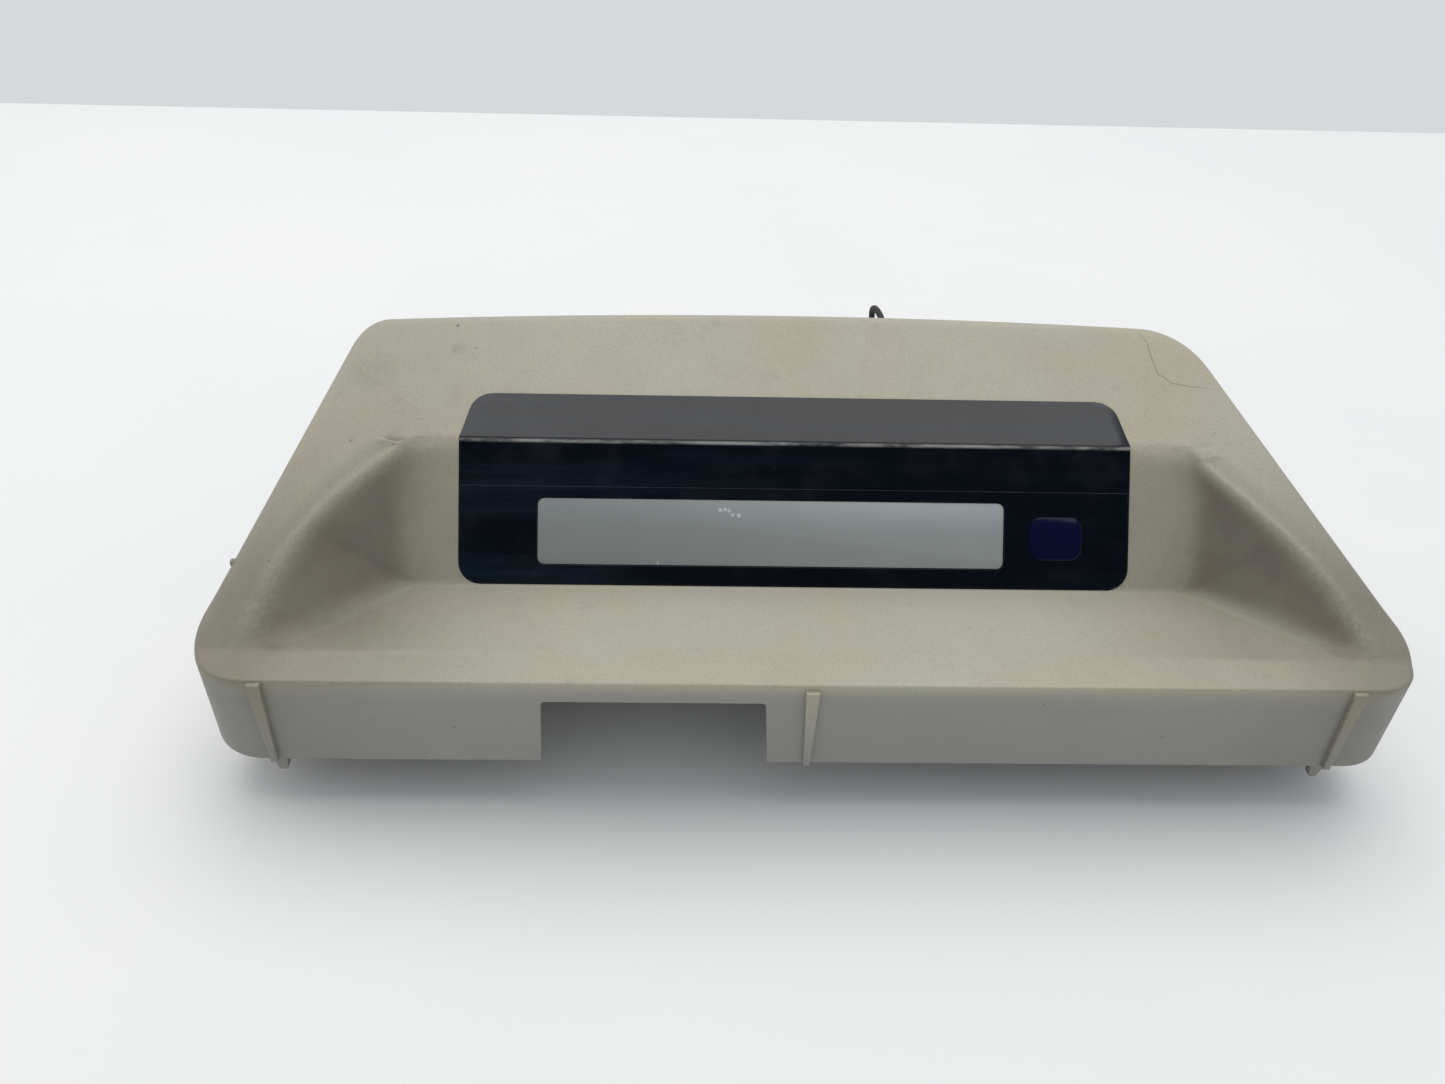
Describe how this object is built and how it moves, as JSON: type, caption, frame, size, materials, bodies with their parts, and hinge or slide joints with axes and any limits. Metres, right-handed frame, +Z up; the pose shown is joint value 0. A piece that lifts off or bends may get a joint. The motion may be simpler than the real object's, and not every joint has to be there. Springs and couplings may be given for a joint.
{
  "type": "operator display hood",
  "caption": "Slanted plastic hood of a till's operator display, with a recessed bent black window cover, the display unit inside and a coiled lead behind.",
  "frame": {"origin": "middle of the base rectangle of the hood, grommet and ribs included and the free lead left out, on the surface that the side and rear walls stand on", "axes": "+X to the right as the operator sees it, +Y away from the operator, +Z up"},
  "size_m": [0.3294, 0.1874, 0.1029],
  "materials": {
    "hood_plastic": "fine moulded texture, warm grey",
    "black_gloss": "polished, blue-black",
    "black_tape": "matt",
    "black_film": "smooth, blue-black",
    "window_clear": "clear, worn, grey display behind",
    "indicator_blue": "dark translucent blue",
    "seal_foam": "closed-cell foam",
    "frame_steel": "blackened sheet steel",
    "lcd_glass": "grey-green, unpowered",
    "guide_clear": "clear moulding",
    "strip_rubber": "soft, layered",
    "lamp_resin": "clear resin",
    "board_green": "solder-resist green",
    "screw_steel": "zinc plated",
    "chip_black": "matt moulded body, tinned legs",
    "can_metal": "drawn can",
    "resistor_black": "chip resistor",
    "connector_nylon": "natural nylon",
    "shroud_white": "white moulding",
    "lead_black": "soft jacket",
    "grommet_rubber": "soft moulding",
    "tie_nylon": "black nylon strap"
  },
  "bodies": {
    "root": {"hood_shell": "hood_plastic", "lens_cover": "black_gloss", "lens_tape": "black_tape", "face_film": "black_film", "window_pane": "window_clear", "indicator_pane": "indicator_blue", "dust_seal": "seal_foam", "display_frame": "frame_steel", "display_glass": "lcd_glass", "light_guide": "guide_clear", "contact_strips": "strip_rubber", "backlight_lamps": "lamp_resin", "display_board": "board_green", "board_screws": "screw_steel", "driver_chips": "chip_black", "board_capacitors": "can_metal", "board_resistors": "resistor_black", "board_socket": "connector_nylon", "lead_plug": "connector_nylon", "indicator_lamp": "lamp_resin", "lamp_shroud": "shroud_white", "lead_inside": "lead_black", "lead_grommet": "grommet_rubber", "display_lead": "lead_black", "lead_coil": "lead_black", "lead_tie": "tie_nylon", "lead_end": "lead_black", "end_plug": "connector_nylon"}
  },
  "joints": []
}
